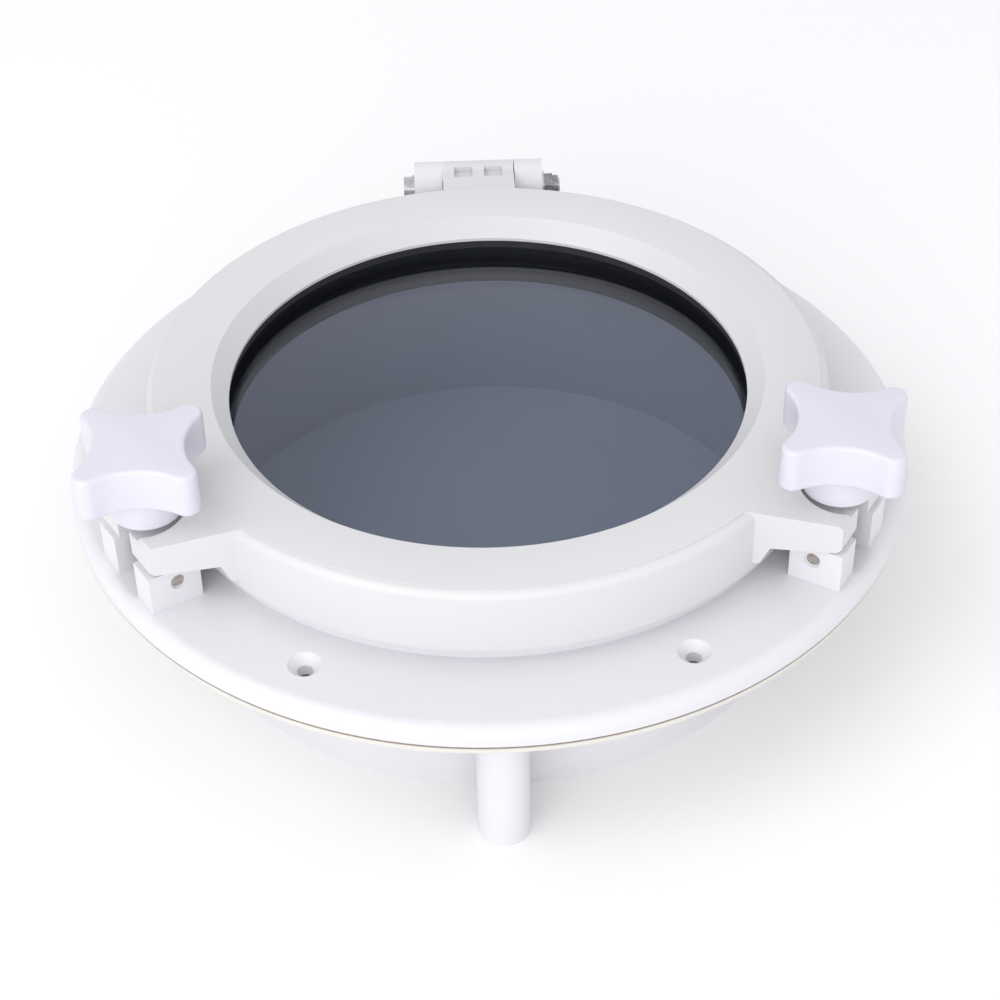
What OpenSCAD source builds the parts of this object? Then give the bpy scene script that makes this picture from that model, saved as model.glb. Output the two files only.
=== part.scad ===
// Opening porthole window: a round moulded frame with its wall sleeve, a hinged
// glazed lid, and two swing bolts with lobed knobs that clamp the lid shut.
// Millimetres. The sleeve's lower end is at z = 0 and the porthole's axis is Z.
// The hinge is at +Y, the drain tube at -Y and the two dogs at the front corners.

/* [Frame] */
// Outer diameter of the wall flange
flange_d = 259; // [210:1:320]
// Thickness of the wall flange
flange_t = 6; // [5:0.5:8]
// Radius of the flange's top outer edge
flange_edge_r = 4; // [2:0.5:4.5]
// Width of the flange outside the sleeve
flange_w = 29.5; // [28:0.5:34]
// Height of the flange's underside above the sleeve's lower end
sleeve_h = 46; // [30:1:70]
// Wall thickness of the sleeve
sleeve_wall = 6.5; // [4:0.5:8]
// Step from the sleeve's outside to the raised collar that the lid closes on
collar_step = 0.8; // [0:0.1:1.5]
// Height of the collar above the flange
collar_h = 5.6; // [4:0.2:7]
// Thickness of the foam gasket between flange and wall
gasket_t = 2.5; // [1:0.5:4]

/* [Screw holes] */
// Distance of the screws from the flange's outer edge
screw_inset = 15; // [12:0.5:16]
// Angle of the front and rear screws from the middle line
screw_angle = 28.2; // [20:0.1:35]
// Diameter of a screw hole
screw_hole_d = 4.6; // [4:0.1:5.5]
// Diameter of a countersink at the flange's face
countersink_d = 9.8; // [8:0.1:11]

/* [Drain tube] */
// Outer diameter of the drain tube
drain_d = 15.1; // [12:0.1:18]
// Wall thickness of the drain tube
drain_wall = 2; // [1.5:0.1:3]
// Distance of the drain tube's centre from the sleeve's outside
drain_out = 16.5; // [14:0.5:18]

/* [Lid] */
// Step from the collar's outside to the lid's outside
lid_step = 2.7; // [2.2:0.1:4]
// Distance that the lid's skirt reaches down over the collar
lid_lap = 0.6; // [0.2:0.1:1.5]
// Width of the lid's rim around the clear opening
rim_w = 24.4; // [24:0.2:30]
// Radius of the crowned top, seen in section
crown_r = 70; // [60:1:90]
// Distance of the crown's highest line from the lid's outside
crown_inset = 9.5; // [6:0.5:12]
// Depth of the slope from the crown down to the lip
lip_drop = 6.1; // [5:0.1:7]
// Width of that slope
slope_w = 5; // [4:0.1:6]
// Thickness of the lip over the glazing
lip_t = 1; // [0.8:0.1:2]
// Radius of the lid's outer top edge
lid_edge_r = 2.5; // [1:0.1:4]

/* [Glazing] */
// Thickness of the pane
glass_t = 6; // [4:0.5:8]
// Depth of the pane's face below the lip
glass_depth = 4; // [3:0.2:5]
// Radial depth of the pane's edge in its rubber channel
glass_bite = 3.5; // [3.3:0.1:4]
// Radial thickness of the rubber channel
channel_w = 6.4; // [5:0.1:7]
// Thickness of the rubber between the pane and the ring below it
bed_t = 2.5; // [1:0.1:4]
// Depth of the rubber's skirt below the pane
channel_skirt = 7.5; // [6:0.1:8.5]
// Height of the ring that holds the channel in the lid
ring_h = 3; // [2:0.1:4]

/* [Hinge] */
// Distance of the hinge pin from the lid's outside
hinge_out = 16.8; // [15:0.1:18]
// Height of the hinge pin above the flange
hinge_h = 14.8; // [14:0.1:16]
// Outer diameter of the knuckles
knuckle_d = 18.4; // [16:0.1:20]
// Length of the middle knuckle
knuckle_w = 24.3; // [20:0.1:30]
// Length of each outer knuckle
outer_knuckle_w = 9.6; // [7:0.1:12]
// Diameter of the hinge screw
hinge_screw_d = 5; // [4:0.5:6]

/* [Dogs] */
// Angle of each dog from the front middle line
dog_angle = 58.4; // [54:0.1:64]
// Distance of each dog from the lid's outside
dog_out = 12; // [11:0.1:13]
// Height of the dog's pin above the flange
dog_pin_h = 8.2; // [7.5:0.1:9]
// Diameter of the dog's pin
dog_pin_d = 4; // [3:0.5:5]
// Tangential thickness of each ear
ear_w = 9.6; // [6:0.1:10]
// Radial thickness of the ears
ear_t = 16; // [13:0.1:16]
// Material of the ears above the pin
ear_cover = 2.6; // [0.8:0.1:2.8]
// Thread diameter of the swing bolt
bolt_d = 6; // [5:0.5:7.5]
// Wall of the swing bolt's eye around the pin
eye_wall = 3.5; // [2.5:0.1:4]

/* [Lugs] */
// Distance of the lug's outer end from the bolt's axis
lug_reach = 8; // [7:0.1:8]
// Width of a lug at its outer end
lug_end_w = 29.5; // [26:0.5:31]
// Width of a lug where it meets the lid
lug_root_w = 52; // [40:0.5:56]
// Height of the knob's seat above the lug's underside
seat_h = 8.9; // [8.5:0.1:9.2]
// Fall of a lug's top from the lid to its outer end
lug_fall = 3.2; // [3.2:0.1:4]
// Chamfer on the lug's outer end
lug_chamfer = 1.2; // [1:0.1:2]

/* [Knobs] */
// Width of a knob over its lobes
knob_w = 34.4; // [33:0.2:38]
// Radius of each lobe
lobe_r = 3.8; // [3:0.1:7]
// Depth of the hollow between two lobes
hollow_depth = 4; // [3:0.1:6]
// Height of the lobed plate
knob_plate_h = 14; // [12:0.1:15]
// Chamfer around the knob's top
knob_chamfer = 1.5; // [0.5:0.1:2]
// Diameter of the hub
hub_d = 21; // [19:0.1:23]
// Height of the hub below the plate
hub_h = 9.8; // [9:0.1:14]
// Gap between the slackened knob and its seat
knob_slack = 2.5; // [2.5:0.1:3.5]
// Turn of the left knob about its bolt
left_knob_turn = -3; // [-45:1:45]
// Turn of the right knob about its bolt
right_knob_turn = -8; // [-45:1:45]

/* [Hidden] */
$fn = 96;

// Clearances between pieces, on each side
run_fit = 0.05;
pin_fit = 0.03;
side_gap = 0.3;
skirt_fit = 0.5;
gasket_fit = 1.5;
bore_fit = 0.4;
bolt_play = 1;
ear_play = 2.4;
ear_clear = 0.5;
seat_fit = 1;
// How far a cutting body reaches past what it cuts
over = 1;

// Radii of the frame and the lid
flange_r = flange_d / 2;
sleeve_r = flange_r - flange_w;
bore_r = sleeve_r - sleeve_wall;
collar_r = sleeve_r + collar_step;
lid_r = collar_r + lid_step;
skirt_r = collar_r + skirt_fit;
opening_r = lid_r - rim_w;
slope_r = opening_r + slope_w;
crown_mid_r = lid_r - crown_inset;
screw_ring_r = flange_r - screw_inset;
drain_r = sleeve_r + drain_out;
drain_floor = 2;
hinge_y = lid_r + hinge_out;
dog_r = lid_r + dog_out;

// Dogs: the eye passes in the lug's slot, and the ears stand clear of the lug
dog_pin_r = dog_pin_d / 2;
bolt_r = bolt_d / 2;
lug_slot_w = bolt_d + 2 * bolt_play;
eye_w = lug_slot_w - 2 * side_gap;
eye_r = dog_pin_r + eye_wall;
ear_gap = eye_w + 2 * ear_play;
ear_h = dog_pin_h + dog_pin_r + ear_cover;
dog_width = ear_gap + 2 * ear_w;
ear_in_r = dog_r - ear_t / 2 + 1;
pin_recess = 0.6;
pin_recess_r = dog_pin_r + 0.5;

// Heights, from the sleeve's lower end up to the knobs
flange_top = sleeve_h + flange_t;
collar_top = flange_top + collar_h;
lid_bottom = collar_top - lid_lap;
ring_top = lid_bottom + ring_h;
glass_bottom = ring_top + bed_t;
glass_top = glass_bottom + glass_t;
lip_z = glass_top + glass_depth;
crown_z = lip_z + lip_drop;
lid_h = crown_z - lid_bottom;
hinge_z = flange_top + hinge_h;
dog_z = flange_top + dog_pin_h;
lug_bottom = flange_top + ear_h + ear_clear;
seat_z = lug_bottom + seat_h;
hub_z = seat_z + knob_slack;
plate_z = hub_z + hub_h;
knob_top = plate_z + knob_plate_h;

// Glazing: a rubber channel under the lip, the pane in it and a ring below it
lip_back = 0.6;
shoulder_w = 3.2;
ring_lap = 4;
channel_in_r = opening_r + lip_back;
channel_out_r = channel_in_r + channel_w;
channel_top = lip_z - lip_t;
channel_bottom = glass_bottom - channel_skirt;
shoulder_r = channel_in_r + shoulder_w;
ring_out_r = channel_out_r + ring_lap;
glass_r = channel_in_r + glass_bite;

// Compression seal in a groove of the lid, over the collar
seal_inset = 1;
seal_t = 4;
seal_in_r = bore_r + seal_inset;
seal_out_r = collar_r - seal_inset;
seal_top = collar_top + seal_t;
recess_in_r = bore_r - 1.5;

// Hinge
knuckle_r = knuckle_d / 2;
outer_knuckle_x = knuckle_w / 2 + side_gap;
hinge_end_x = outer_knuckle_x + outer_knuckle_w;
hinge_screw_r = hinge_screw_d / 2;
hinge_washer_t = 0.8;
hinge_washer_r = hinge_screw_r + 2.3;
hinge_head_t = 3;
hinge_head_r = hinge_screw_r + 1.8;
nut_flats = hinge_screw_d + 3;
nut_hex_t = 2.8;
nut_collar_t = 2;
nut_collar_r = hinge_screw_r + 0.9;
nut_x = hinge_end_x + hinge_washer_t;
nut_end_x = nut_x + nut_hex_t + nut_collar_t;
screw_tip = 0.6;

// Web between the lid and its knuckle, with two pockets in its top
web_lift = 2;
web_drop = 0.4;
pocket_in_x = 2;
pocket_out_x = knuckle_w / 2 - 3.9;
pocket_y = hinge_y - knuckle_r + 0.8;
pocket_len = 7;
pocket_depth = 2.4;

// Lugs start inside the lid's outer edge and run on from its crown
lug_in_r = lid_r - lid_edge_r - 0.5;
lug_low_r = (skirt_r + lid_r) / 2;
lug_low_z = collar_top + 2;
lug_end_r = dog_r + lug_reach;
lug_step = 0.03;
slot_in_r = dog_r - 2.5;
haunch_step = 2.5;
haunch_w = 1.5;
seat_r = hub_d / 2 + seat_fit;
lug_root_x = sqrt(pow(lug_in_r, 2) - pow(lug_root_w / 2, 2)) - over;

// Knob outline: lobes on a square's corners, and hollows that run into them
lobe_at = knob_w / 2 - lobe_r;
waist = knob_w / 2 - hollow_depth;
hollow_at = (2 * pow(lobe_at, 2) - pow(waist - lobe_r, 2)) / (2 * (lobe_at - waist + lobe_r));
hollow_r = hollow_at - waist;
join_share = lobe_r / (lobe_r + hollow_r);
join_out = lobe_at + join_share * (hollow_at - lobe_at);
join_in = lobe_at - join_share * lobe_at;

// Knob details
washer_t = 1.2;
washer_r = bolt_r + 5;
insert_r = bolt_r + 2;
insert_bottom = hub_z + washer_t + bore_fit;
insert_top = plate_z + 3;
knob_bore_r = bolt_r + bore_fit;
knob_bore_top = knob_top - 3;
bolt_top = knob_bore_top - 3;

// Height of the crowned top at a distance r from the porthole's axis
function crown_at(r) = crown_z - crown_r + sqrt(pow(crown_r, 2) - pow(r - crown_mid_r, 2));

// Height of a lug's sloping top at a distance r from the porthole's axis
function lug_top_at(r) =
    crown_at(lug_in_r) + lug_step - lug_fall * (r - lug_in_r) / (lug_end_r - lug_in_r);

module on_side(side) {
    if (side < 0)
        mirror([1, 0, 0]) children();
    else
        children();
}

// Places children with local X radial outward and local Y along the rim
module at_dog(side) {
    on_side(side) rotate([0, 0, dog_angle - 90]) children();
}

// Places children on a dog's bolt axis, with the dog's own turn about it
module on_bolt(side) {
    on_side(side) rotate([0, 0, dog_angle - 90]) translate([dog_r, 0, 0]) children();
}

module ring(r_out, r_in, z_low, z_high) {
    difference() {
        translate([0, 0, z_low]) cylinder(r = r_out, h = z_high - z_low);
        translate([0, 0, z_low - over]) cylinder(r = r_in, h = z_high - z_low + 2 * over);
    }
}

// A cylinder along X through the hinge axis
module hinge_rod(r, x_low, x_high) {
    translate([x_low, hinge_y, hinge_z]) rotate([0, 90, 0]) cylinder(r = r, h = x_high - x_low);
}

// A cylinder along a dog's pin, centred on the dog, in the dog's local frame
module pin_rod(r, width) {
    translate([dog_r, width / 2, dog_z]) rotate([90, 0, 0]) cylinder(r = r, h = width);
}

// ---- Frame ----

// Section of the flange with its rounded top outer edge
module flange_section() {
    translate([bore_r, sleeve_h]) square([flange_r - bore_r - flange_edge_r, flange_t]);
    translate([bore_r, sleeve_h]) square([flange_r - bore_r, flange_t - flange_edge_r]);
    intersection() {
        translate([flange_r - flange_edge_r, flange_top - flange_edge_r]) circle(r = flange_edge_r);
        translate([flange_r - flange_edge_r, sleeve_h]) square([flange_edge_r, flange_t]);
    }
}

module frame_section() {
    flange_section();
    translate([bore_r, 0]) square([sleeve_wall, sleeve_h + over]);
    translate([bore_r, sleeve_h]) square([collar_r - bore_r, flange_t + collar_h]);
}

module screw_hole() {
    sink_h = (countersink_d - screw_hole_d) / 2;
    translate([0, 0, sleeve_h - over]) cylinder(d = screw_hole_d, h = flange_t + 2 * over);
    translate([0, 0, flange_top - sink_h])
        cylinder(d1 = screw_hole_d, d2 = countersink_d + 2 * over, h = sink_h + over);
}

// Places children on each of the six screws
module at_screws() {
    for (angle = [screw_angle, 90, 180 - screw_angle])
        for (turn = [-angle, angle])
            rotate([0, 0, turn - 90]) translate([screw_ring_r, 0, 0]) children();
}

// The pair of ears that carries one dog
module ears() {
    difference() {
        for (y = [-dog_width / 2, ear_gap / 2])
            translate([ear_in_r, y, flange_top - over]) cube([ear_t, ear_w, ear_h + over]);
        pin_rod(dog_pin_r + pin_fit, dog_width + 2 * over);
        for (y = [-dog_width / 2 - over, dog_width / 2 - pin_recess])
            translate([dog_r, y, dog_z]) rotate([-90, 0, 0])
                cylinder(r = pin_recess_r, h = pin_recess + over);
    }
}

// One outer knuckle with its foot on the flange
module outer_knuckle() {
    difference() {
        union() {
            hinge_rod(knuckle_r, outer_knuckle_x, hinge_end_x);
            translate([outer_knuckle_x, hinge_y - knuckle_r, flange_top - over])
                cube([outer_knuckle_w, 2 * knuckle_r, hinge_h + over]);
        }
        hinge_rod(hinge_screw_r + run_fit, outer_knuckle_x - over, hinge_end_x + over);
    }
}

module drain_tube() {
    difference() {
        translate([0, -drain_r, 0]) cylinder(d = drain_d, h = sleeve_h + over);
        translate([0, -drain_r, -over])
            cylinder(d = drain_d - 2 * drain_wall, h = sleeve_h - drain_floor + over);
    }
}

module frame() color("#e7e6eb") {
    difference() {
        rotate_extrude() frame_section();
        at_screws() screw_hole();
    }
    for (side = [-1, 1]) {
        at_dog(side) ears();
        on_side(side) outer_knuckle();
    }
    drain_tube();
}

module wall_gasket() color("#f0eee8") {
    difference() {
        ring(flange_r - side_gap, sleeve_r + gasket_fit, sleeve_h - gasket_t, sleeve_h);
        translate([0, -drain_r, 0]) cylinder(d = drain_d + 2 * gasket_fit, h = sleeve_h + over);
        at_screws() cylinder(d = screw_hole_d, h = sleeve_h + over);
    }
}

module dog_pin(side) color("#b9b2a8") {
    at_dog(side) pin_rod(dog_pin_r, dog_width - 2 * pin_recess);
}

// ---- Hinge hardware ----

module hinge_screw() color("#a9a9ab") {
    hinge_rod(hinge_screw_r, -nut_x - over, nut_end_x + screw_tip);
    hinge_rod(hinge_head_r, -nut_x - hinge_head_t, -nut_x);
}

module hinge_nut() color("#77777b") {
    difference() {
        union() {
            translate([nut_x, hinge_y, hinge_z]) rotate([0, 90, 0])
                cylinder(d = nut_flats / cos(30), h = nut_hex_t, $fn = 6);
            hinge_rod(nut_collar_r, nut_x, nut_end_x);
        }
        hinge_rod(hinge_screw_r + pin_fit, nut_x - over, nut_end_x + over);
    }
}

module hinge_washer(side) color("#b4b4b6") {
    on_side(side) difference() {
        hinge_rod(hinge_washer_r, hinge_end_x, nut_x);
        hinge_rod(hinge_screw_r + run_fit, hinge_end_x - over, nut_x + over);
    }
}

// ---- Lid ----

// Section under the crown, from the axis out to a given radius
module crown_section(r_out) {
    intersection() {
        translate([crown_mid_r, crown_z - crown_r]) circle(r = crown_r, $fn = 192);
        translate([0, lid_bottom]) square([r_out, lid_h + over]);
    }
}

// The lid's outer top edge, rounded
module lid_edge_cut() {
    edge_z = crown_at(lid_r) - lid_edge_r;
    difference() {
        translate([lid_r - lid_edge_r, edge_z]) square([lid_edge_r + over, 2 * lid_edge_r]);
        translate([lid_r - lid_edge_r, edge_z]) circle(r = lid_edge_r);
    }
}

// What the lid's section leaves out: opening, channel seat, ring seat and seal groove
module lid_hollow() {
    polygon([[0, 0], [opening_r, 0], [opening_r, lip_z], [slope_r, crown_at(slope_r)],
        [slope_r, crown_z + over], [0, crown_z + over]]);
    square([channel_out_r, channel_top]);
    square([ring_out_r, ring_top]);
    translate([seal_in_r, 0]) square([seal_out_r - seal_in_r, seal_top]);
    translate([recess_in_r, 0]) square([skirt_r - recess_in_r, collar_top + side_gap]);
}

module lid_ring() {
    rotate_extrude() difference() {
        crown_section(lid_r);
        lid_edge_cut();
        lid_hollow();
    }
}

// Plan of one lug, tapering outward from inside the lid's wall
module lug_plan() {
    polygon([
        [lug_root_x, -lug_root_w / 2], [lug_end_r, -lug_end_w / 2],
        [lug_end_r, lug_end_w / 2], [lug_root_x, lug_root_w / 2]
    ]);
}

// A ring with the lugs' sloping top, which reaches into the lid clear of the collar
module lug_band() {
    rotate_extrude() polygon([
        [lug_in_r, lug_low_z], [lug_low_r, lug_low_z], [lug_low_r, 0],
        [lug_end_r + over, 0], [lug_end_r + over, lug_top_at(lug_end_r + over)],
        [lug_in_r, lug_top_at(lug_in_r)]
    ]);
}

// Side view of one lug: flat underside, haunch to the wall, chamfered end
module lug_side() {
    top = crown_z + over;
    end_z = lug_top_at(lug_end_r);
    polygon([
        [lug_root_x - over, lid_bottom + haunch_step], [lid_r - over, lid_bottom + haunch_step],
        [lid_r + haunch_w, lug_bottom],
        [lug_end_r - lug_chamfer, lug_bottom], [lug_end_r, lug_bottom + lug_chamfer],
        [lug_end_r, end_z - lug_chamfer], [lug_end_r - lug_chamfer, end_z],
        [lug_end_r - lug_chamfer, top], [lug_root_x - over, top]
    ]);
}

module lug() {
    difference() {
        intersection() {
            linear_extrude(height = crown_z + over) lug_plan();
            rotate([90, 0, 0]) translate([0, 0, -lug_root_w])
                linear_extrude(height = 2 * lug_root_w) lug_side();
            lug_band();
        }
        translate([slot_in_r, 0, lid_bottom]) cylinder(d = lug_slot_w, h = lid_h);
        translate([slot_in_r, -lug_slot_w / 2, lid_bottom]) cube([ear_t, lug_slot_w, lid_h]);
    }
}

// The middle knuckle and the web that joins it to the lid
module lid_knuckle() {
    web_low = hinge_z - knuckle_r + web_lift;
    pocket_low = lug_top_at(pocket_y) - web_drop - pocket_depth;
    difference() {
        union() {
            hinge_rod(knuckle_r, -knuckle_w / 2, knuckle_w / 2);
            intersection() {
                translate([-knuckle_w / 2, 0, web_low])
                    cube([knuckle_w, hinge_y, crown_z - web_low]);
                translate([0, 0, -web_drop]) lug_band();
            }
        }
        hinge_rod(hinge_screw_r + run_fit, -knuckle_w, knuckle_w);
        for (x = [-pocket_out_x, pocket_in_x])
            translate([x, pocket_y, pocket_low])
                cube([pocket_out_x - pocket_in_x, pocket_len, 2 * pocket_depth]);
    }
}

module lid() color("#e4e3e6") {
    difference() {
        union() {
            lid_ring();
            for (side = [-1, 1])
                at_dog(side) lug();
        }
        for (side = [-1, 1])
            on_bolt(side) translate([0, 0, seat_z]) cylinder(r = seat_r, h = lid_h);
    }
    lid_knuckle();
}

module glazing_seal() color("#26272b") {
    rotate_extrude() difference() {
        union() {
            translate([channel_in_r, ring_top]) square([channel_w, channel_top - ring_top]);
            translate([channel_in_r, channel_bottom])
                square([shoulder_w, channel_top - channel_bottom]);
        }
        translate([0, glass_bottom]) square([glass_r, glass_t]);
    }
}

module glazing_ring() color("#e4e3e6") {
    ring(ring_out_r, shoulder_r, lid_bottom, ring_top);
}

module glass() color("#6a7280", 0.6) {
    translate([0, 0, glass_bottom]) cylinder(r = glass_r, h = glass_t);
}

module lid_seal() color("#2b2c30") {
    ring(seal_out_r, seal_in_r, collar_top, seal_top);
}

// ---- Dogs ----

module swing_bolt(side) color("#b7b8bb") {
    at_dog(side) difference() {
        union() {
            pin_rod(eye_r, eye_w);
            translate([dog_r, 0, dog_z]) cylinder(r = bolt_r, h = bolt_top - dog_z);
        }
        pin_rod(dog_pin_r + run_fit, eye_w + 2 * over);
    }
}

module washer(side) color("#c2c3c5") {
    on_bolt(side) ring(washer_r, bolt_r + bore_fit, hub_z, hub_z + washer_t);
}

// Outline of the knob: four round lobes, the core between them and four round hollows
module knob_outline(inset) {
    difference() {
        union() {
            square([2 * join_out, 2 * join_in], center = true);
            square([2 * join_in, 2 * join_out], center = true);
            for (x = [-lobe_at, lobe_at])
                for (y = [-lobe_at, lobe_at])
                    translate([x, y]) circle(r = lobe_r - inset);
        }
        for (turn = [0, 90, 180, 270])
            rotate(turn) translate([hollow_at, 0]) circle(r = hollow_r + inset);
    }
}

module knob_body() {
    difference() {
        union() {
            translate([0, 0, hub_z]) cylinder(d = hub_d, h = hub_h + over);
            translate([0, 0, plate_z])
                linear_extrude(height = knob_plate_h - knob_chamfer) knob_outline(0);
            translate([0, 0, knob_top - knob_chamfer - over])
                linear_extrude(height = knob_chamfer + over) knob_outline(knob_chamfer);
        }
        translate([0, 0, hub_z - over]) cylinder(r = washer_r + side_gap, h = washer_t + over);
        translate([0, 0, hub_z]) cylinder(r = insert_r + pin_fit, h = insert_top - hub_z);
        translate([0, 0, hub_z]) cylinder(r = knob_bore_r, h = knob_bore_top - hub_z);
    }
}

// The dog's placing turns a child by the dog's angle, so a knob turns back by it
module knob(side, turn) color("#e4e2ee") {
    on_bolt(side) rotate([0, 0, 90 - dog_angle + side * turn]) knob_body();
}

module knob_insert(side) color("#b08d4a") {
    on_bolt(side) ring(insert_r, bolt_r + run_fit, insert_bottom, insert_top);
}

frame();
wall_gasket();
dog_pin(-1);  // left_dog_pin
dog_pin(1);  // right_dog_pin
hinge_screw();
hinge_nut();
hinge_washer(-1);  // left_hinge_washer
hinge_washer(1);  // right_hinge_washer
lid();
glass();
glazing_seal();
glazing_ring();
lid_seal();
swing_bolt(-1);  // left_swing_bolt
swing_bolt(1);  // right_swing_bolt
washer(-1);  // left_washer
washer(1);  // right_washer
knob(-1, left_knob_turn);  // left_knob
knob(1, right_knob_turn);  // right_knob
knob_insert(-1);  // left_knob_insert
knob_insert(1);  // right_knob_insert
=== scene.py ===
"""Looks of an opening porthole: moulded white frame and lid, smoked pane, lobed knobs.

The CAD nodes stay where they are. The knobs and the pane are redone here with softened
edges, and every piece gets a finish made of shader nodes.
"""

from math import atan2, cos, pi, radians, sin

import bpy
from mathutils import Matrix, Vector


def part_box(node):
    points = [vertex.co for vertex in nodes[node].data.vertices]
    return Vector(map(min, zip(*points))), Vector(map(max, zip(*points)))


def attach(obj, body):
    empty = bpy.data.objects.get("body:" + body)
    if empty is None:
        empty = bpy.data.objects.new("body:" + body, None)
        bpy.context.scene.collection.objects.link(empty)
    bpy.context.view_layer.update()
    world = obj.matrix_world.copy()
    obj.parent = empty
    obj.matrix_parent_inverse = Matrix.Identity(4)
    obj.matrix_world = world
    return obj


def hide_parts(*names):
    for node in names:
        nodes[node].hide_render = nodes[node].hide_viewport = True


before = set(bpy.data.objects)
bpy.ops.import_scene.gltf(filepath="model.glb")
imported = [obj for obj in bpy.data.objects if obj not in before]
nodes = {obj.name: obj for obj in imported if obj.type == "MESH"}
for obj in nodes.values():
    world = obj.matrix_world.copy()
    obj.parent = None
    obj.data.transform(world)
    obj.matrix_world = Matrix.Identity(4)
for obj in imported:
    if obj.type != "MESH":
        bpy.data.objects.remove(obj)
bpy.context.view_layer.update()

MM = 0.001
NEAR = 0.1 * MM


# ---- Shader maths ----


class Value:
    """A node's output that takes part in plain expressions, adding a Math node for each."""

    def __init__(self, tree, socket):
        self.tree = tree
        self.socket = socket

    def maths(self, operation, first, second):
        node = self.tree.nodes.new("ShaderNodeMath")
        node.operation = operation
        for socket, value in zip(node.inputs, (first, second)):
            if isinstance(value, Value):
                self.tree.links.new(value.socket, socket)
            else:
                socket.default_value = value
        return Value(self.tree, node.outputs[0])

    def __add__(self, other):
        return self.maths("ADD", self, other)

    def __radd__(self, other):
        return self.maths("ADD", other, self)

    def __sub__(self, other):
        return self.maths("SUBTRACT", self, other)

    def __rsub__(self, other):
        return self.maths("SUBTRACT", other, self)

    def __mul__(self, other):
        return self.maths("MULTIPLY", self, other)

    def __rmul__(self, other):
        return self.maths("MULTIPLY", other, self)


class Finish:
    """One material, built node by node."""

    def __init__(self, name):
        self.material = bpy.data.materials.new(name)
        self.material.use_nodes = True
        self.tree = self.material.node_tree
        self.tree.nodes.clear()
        self.place = self.node("TexCoord", output="Object")

    def node(self, kind, settings=(), output=0, **inputs):
        """Adds a node: its settings first, then a value or a link for each socket.

        A socket goes by its name, as in Base_Color, or by its number, as in _0.
        """
        node = self.tree.nodes.new("ShaderNode" + kind)
        for name, value in dict(settings).items():
            setattr(node, name, value)
        for name, value in inputs.items():
            numbered = name[1:].isdigit()
            socket = node.inputs[int(name[1:]) if numbered else name.replace("_", " ")]
            if isinstance(value, Value):
                self.tree.links.new(value.socket, socket)
            else:
                socket.default_value = value
        return Value(self.tree, node.outputs[output])

    def noise(self, scale, detail=2.0, roughness=0.5, place=None):
        return self.node("TexNoise", Vector=place or self.place, Scale=scale, Detail=detail,
                         Roughness=roughness)

    def blend(self, mask, low, high):
        return self.node("Mix", {"data_type": "RGBA"}, output=2, _0=mask, _6=low, _7=high)

    def bump(self, height, distance, strength=1.0, normal=None):
        extra = {"Normal": normal} if normal else {}
        return self.node("Bump", Height=height, Distance=distance, Strength=strength, **extra)

    def done(self, shader):
        out = self.tree.nodes.new("ShaderNodeOutputMaterial")
        self.tree.links.new(shader.socket, out.inputs["Surface"])
        return self.material


def moulded_plastic(name, pale, deep, rough, grain=0.25 * MM):
    """Satin moulded plastic: faint flow clouding, fine eggshell grain, slight handling marks."""
    f = Finish(name)
    flow = f.noise(14.0, detail=3.0, roughness=0.55)
    clouds = f.node("MapRange", Value=flow, From_Min=0.3, From_Max=0.7)
    colour = f.blend(clouds, deep, pale)
    handled = f.noise(70.0, detail=4.0, roughness=0.7)
    skin = f.noise(0.9 / grain, detail=2.0, roughness=0.6)
    waves = f.noise(55.0, detail=1.0)
    soft = f.bump(waves, 0.06 * MM, strength=0.25)
    surface = f.bump(skin, 0.012 * MM, strength=0.5, normal=soft)
    roughness = rough + 0.03 * (flow - 0.5) + 0.05 * (handled - 0.5)
    return f.done(f.node("BsdfPrincipled", Base_Color=colour, Roughness=roughness, IOR=1.49,
                         Normal=surface))


def foam_gasket():
    """Closed-cell foam: warm white with small dimples, and a painted brown shadow line along its
    top where it meets the flange.
    """
    low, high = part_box("wall_gasket")
    f = Finish("gasket_foam")
    height = f.node("SeparateXYZ", output=2, Vector=f.place)
    # Painted shade: the top millimetre or so under the flange is darkened to stand in for the
    # shadow line in the gap there.
    flange_shadow_band = f.node("MapRange", Value=height, From_Min=high.z - 1.2 * MM, From_Max=high.z - 0.7 * MM)
    cells = f.node("TexVoronoi", Vector=f.place, Scale=900.0)
    tone = f.noise(40.0, detail=3.0)
    clean = f.blend(tone, (0.66, 0.63, 0.58, 1), (0.72, 0.70, 0.66, 1))
    colour = f.blend(flange_shadow_band, clean, (0.22, 0.18, 0.15, 1))
    surface = f.bump(cells, 0.25 * MM, strength=0.6)
    return f.done(f.node("BsdfPrincipled", Base_Color=colour, Roughness=0.85 - 0.1 * tone,
                         Normal=surface))


def black_rubber():
    """Extruded rubber, matte, with a trace of dust in its fine pores."""
    f = Finish("black_rubber")
    pores = f.noise(2600.0, detail=2.0)
    dust = f.node("MapRange", Value=f.noise(120.0, detail=5.0, roughness=0.7),
                  From_Min=0.5, From_Max=0.8)
    colour = f.blend(dust, (0.022, 0.022, 0.024, 1), (0.036, 0.036, 0.038, 1))
    surface = f.bump(pores, 0.03 * MM, strength=0.5)
    return f.done(f.node("BsdfPrincipled", Base_Color=colour, Roughness=0.55 + 0.2 * dust,
                         Normal=surface))


def smoked_pane():
    """Blue-grey smoked pane: what is behind it shows through its tint, and its faces gleam."""
    f = Finish("smoked_pane")
    tint = f.node("BsdfTransparent", Color=(0.645, 0.67, 0.725, 1))
    gleam = f.node("BsdfGlossy", Color=(0.95, 0.97, 1.0, 1), Roughness=0.03)
    slant = f.node("LayerWeight", output=1, Blend=0.5)
    square = slant * slant
    return f.done(f.node("MixShader", _0=0.035 + 0.9 * square * square * slant, _1=tint, _2=gleam))


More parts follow.
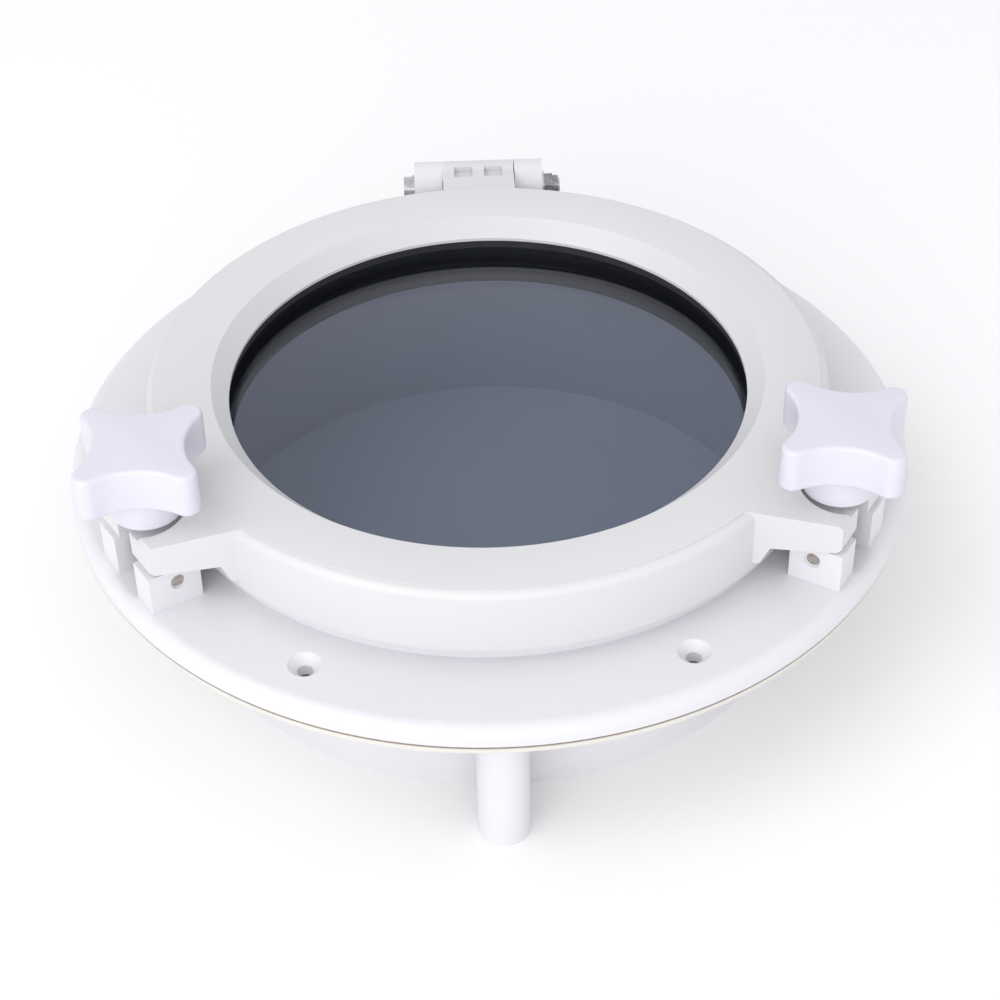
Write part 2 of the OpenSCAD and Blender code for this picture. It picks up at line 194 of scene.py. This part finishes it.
def drawn_steel(name, bright, dull, rough):
    """Stainless hardware: fine drawing lines, small stains and softly varied gloss."""
    f = Finish(name)
    stretched = f.node("Mapping", Vector=f.place, Scale=(900.0, 60.0, 900.0))
    lines = f.noise(1.0, detail=3.0, roughness=0.7, place=stretched)
    stain = f.noise(420.0, detail=4.0, roughness=0.7)
    dulled = f.node("MapRange", Value=stain, From_Min=0.35, From_Max=0.65)
    colour = f.blend(dulled, bright, dull)
    surface = f.bump(lines, 0.02 * MM, strength=0.5)
    return f.done(f.node("BsdfPrincipled", Base_Color=colour, Metallic=1.0,
                         Roughness=rough + 0.18 * (lines - 0.5) + 0.1 * (stain - 0.5),
                         Normal=surface))


frame_white = moulded_plastic("frame_white", (0.715, 0.705, 0.735, 1),
                              (0.695, 0.685, 0.715, 1), 0.42)
lid_white = moulded_plastic("lid_white", (0.665, 0.66, 0.67, 1), (0.645, 0.64, 0.65, 1), 0.40)
knob_white = moulded_plastic("knob_white", (0.67, 0.655, 0.735, 1), (0.66, 0.645, 0.725, 1), 0.36,
                             grain=0.18 * MM)
foam = foam_gasket()
rubber = black_rubber()
pane = smoked_pane()
pin_steel = drawn_steel("pin_steel", (0.55, 0.50, 0.45, 1), (0.36, 0.32, 0.28, 1), 0.42)
bright_steel = drawn_steel("bright_steel", (0.62, 0.62, 0.63, 1), (0.45, 0.45, 0.46, 1), 0.30)
nut_steel = drawn_steel("nut_steel", (0.40, 0.40, 0.41, 1), (0.22, 0.22, 0.23, 1), 0.34)
insert_brass = drawn_steel("insert_brass", (0.80, 0.60, 0.28, 1), (0.62, 0.44, 0.18, 1), 0.30)


def paint(piece, material):
    piece.data.materials.clear()
    piece.data.materials.append(material)


for name, material in {
    "frame": frame_white, "wall_gasket": foam, "left_dog_pin": pin_steel,
    "right_dog_pin": pin_steel, "hinge_screw": bright_steel, "hinge_nut": nut_steel,
    "left_hinge_washer": bright_steel, "right_hinge_washer": bright_steel, "lid": lid_white,
    "glass": pane, "glazing_seal": rubber, "glazing_ring": lid_white, "lid_seal": rubber,
    "left_swing_bolt": bright_steel, "right_swing_bolt": bright_steel,
    "left_washer": bright_steel, "right_washer": bright_steel,
    "left_knob": knob_white, "right_knob": knob_white,
    "left_knob_insert": insert_brass, "right_knob_insert": insert_brass,
}.items():
    paint(nodes[name], material)


# ---- Modelling helpers ----


def clear_selection():
    bpy.ops.object.select_all(action="DESELECT")


def take(piece):
    """Makes one piece the only one that the operators act on."""
    clear_selection()
    piece.select_set(True)
    bpy.context.view_layer.objects.active = piece
    return piece


def added(name):
    piece = bpy.context.object
    piece.name = piece.data.name = name
    return piece


def settle(piece):
    """Puts a piece's place into its mesh, so that its object sits at the origin."""
    take(piece)
    bpy.ops.object.transform_apply(location=True, rotation=True, scale=True)
    return piece


def modify(piece, kind, **settings):
    take(piece)
    modifier = piece.modifiers.new(kind.lower(), kind)
    for name, value in settings.items():
        setattr(modifier, name, value)
    bpy.ops.object.modifier_apply(modifier=modifier.name)
    return piece


def soften(piece, width, segments=3, angle=30):
    modify(piece, "BEVEL", width=width, segments=segments, limit_method="ANGLE",
           angle_limit=radians(angle), profile=0.5, use_clamp_overlap=True)
    take(piece)
    bpy.ops.object.shade_smooth_by_angle(angle=radians(35))
    return piece


def select_edges(piece, wanted):
    """In edit mode, selects the edges whose middle passes a test."""
    take(piece)
    bpy.ops.object.mode_set(mode="EDIT")
    bpy.ops.mesh.select_mode(type="EDGE")
    bpy.ops.mesh.select_all(action="DESELECT")
    bpy.ops.object.mode_set(mode="OBJECT")
    mesh = piece.data
    for edge in mesh.edges:
        first, second = (mesh.vertices[i].co for i in edge.vertices)
        edge.select = wanted((first + second) / 2)
    bpy.ops.object.mode_set(mode="EDIT")


def leave_edit():
    bpy.ops.object.mode_set(mode="OBJECT")


# ---- Pane ----


def clear_pane():
    """The smoked pane, a hair clear of the rubber that grips its rim."""
    low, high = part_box("glass")
    clear_selection()
    bpy.ops.mesh.primitive_cylinder_add(vertices=192, radius=(high.x - low.x) / 2 - 0.2 * MM,
                                        depth=high.z - low.z - 0.1 * MM,
                                        location=(low + high) / 2)
    disc = soften(settle(added("smoked_glass_disc")), 0.4 * MM, segments=2, angle=40)
    paint(disc, pane)
    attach(disc, "lid")
    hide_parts("glass")


clear_pane()


# ---- Knobs ----

hub_radius = 10.5 * MM
knob_half = 17.2 * MM
lobe_radius = 3.8 * MM
waist = 13.2 * MM
plate_height = 14 * MM
top_ease = 1.3 * MM
under_ease = 1.3 * MM

# Each lobe's arc runs on into the hollow's arc, so their centres and the point where
# they meet lie on one line.
lobe_at = knob_half - lobe_radius
hollow_at = (2 * lobe_at ** 2 - (waist - lobe_radius) ** 2) / (2 * (lobe_at - waist + lobe_radius))
hollow_radius = hollow_at - waist
share = lobe_radius / (lobe_radius + hollow_radius)
meet_out = lobe_at + share * (hollow_at - lobe_at)
meet_in = lobe_at * (1 - share)
hollow_turn = 2 * atan2(meet_in, hollow_at - meet_out)
lobe_turn = pi / 2 + hollow_turn


def knob_plate(top):
    """The four-lobed plate: arcs spun one after another, filled and drawn up."""
    clear_selection()
    bpy.ops.mesh.primitive_plane_add(size=1 * MM, location=(meet_out, -meet_in, top - plate_height))
    plate = settle(added("knob_plate"))
    bpy.ops.object.mode_set(mode="EDIT")
    bpy.ops.mesh.select_mode(type="VERT")
    bpy.ops.mesh.select_all(action="SELECT")
    bpy.ops.mesh.merge(type="CENTER")
    for side in range(4):
        a = side * pi / 2
        hollow = (hollow_at * cos(a), hollow_at * sin(a), top - plate_height)
        lobe = (lobe_at * 2 ** 0.5 * cos(a + pi / 4), lobe_at * 2 ** 0.5 * sin(a + pi / 4),
                top - plate_height)
        bpy.ops.mesh.spin(steps=16, angle=hollow_turn, center=hollow, axis=(0, 0, 1))
        bpy.ops.mesh.spin(steps=24, angle=-lobe_turn, center=lobe, axis=(0, 0, 1))
    bpy.ops.mesh.select_all(action="SELECT")
    bpy.ops.mesh.remove_doubles(threshold=0.01 * MM)
    bpy.ops.mesh.edge_face_add()
    bpy.ops.mesh.extrude_region_move(TRANSFORM_OT_translate={"value": (0, 0, plate_height)})
    bpy.ops.mesh.select_all(action="SELECT")
    bpy.ops.mesh.normals_make_consistent(inside=False)
    leave_edit()
    for height, ease in ((top, top_ease), (top - plate_height, under_ease)):
        select_edges(plate, lambda middle: abs(middle.z - height) < NEAR)
        bpy.ops.mesh.bevel(offset=ease, segments=5, affect="EDGES", profile=0.5)
        leave_edit()
    return plate


def lobed_knob(name, node, insert, turn):
    """A four-lobed hand knob: the plate on its round hub, turned as it was left."""
    low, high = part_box(node)
    axis = sum(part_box(insert), Vector()) / 2
    plate_low = high.z - plate_height
    clear_selection()
    bpy.ops.mesh.primitive_cylinder_add(vertices=96, radius=hub_radius,
                                        depth=plate_low - low.z + 2 * MM,
                                        location=(0, 0, (low.z + plate_low) / 2 + 1 * MM))
    hub = soften(settle(added("hub")), 0.8 * MM, segments=4, angle=40)
    knob = knob_plate(high.z)
    knob.name = knob.data.name = name
    take(knob)
    hub.select_set(True)
    bpy.ops.object.join()
    knob.rotation_euler.z = radians(turn)
    knob.location = (axis.x, axis.y, 0)
    settle(knob)
    bpy.ops.object.shade_smooth_by_angle(angle=radians(35))
    paint(knob, knob_white)
    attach(knob, node)
    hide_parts(node)
    return knob


lobed_knob("left_hand_knob", "left_knob", "left_knob_insert", 1)
lobed_knob("right_hand_knob", "right_knob", "right_knob_insert", -10)


# ---- Floor, light and camera ----


def floor_paper():
    """Matte white paper with the least unevenness."""
    f = Finish("studio_floor")
    speck = f.noise(2.0, detail=2.0)
    shade = f.blend(speck, (0.90, 0.90, 0.905, 1), (0.91, 0.91, 0.91, 1))
    return f.done(f.node("BsdfPrincipled", Base_Color=shade, Roughness=0.9))


clear_selection()
bpy.ops.mesh.primitive_plane_add(size=14, location=(0, 3, 0))
floor = added("studio_floor")
paint(floor, floor_paper())

world = bpy.data.worlds.new("studio")
bpy.context.scene.world = world
world.use_nodes = True
sky = world.node_tree.nodes["Background"].inputs
sky["Color"].default_value = (0.97, 0.98, 1.0, 1)
sky["Strength"].default_value = 0.93


def panel(name, power, size, place, aim=(0, 0, 0.05)):
    clear_selection()
    bpy.ops.object.light_add(type="AREA", location=place)
    light = added(name)
    light.data.shape = "RECTANGLE"
    light.data.size, light.data.size_y = size
    light.data.energy = power
    light.rotation_euler = (Vector(aim) - Vector(place)).to_track_quat("-Z", "Y").to_euler()
    return light


panel("key_panel", 6.0, (1.1, 0.9), (-0.9, -0.6, 1.5))
panel("front_panel", 9.0, (1.6, 0.9), (-0.35, -1.35, 0.6))

clear_selection()
bpy.ops.object.camera_add(location=(-0.00773, -0.55366, 0.48652),
                          rotation=(radians(50.172), radians(0.905), radians(-1.860)))
camera = added("camera")
camera.data.sensor_width = 36
camera.data.lens = 81.21
bpy.context.scene.camera = camera
bpy.context.scene.view_settings.view_transform = "Standard"
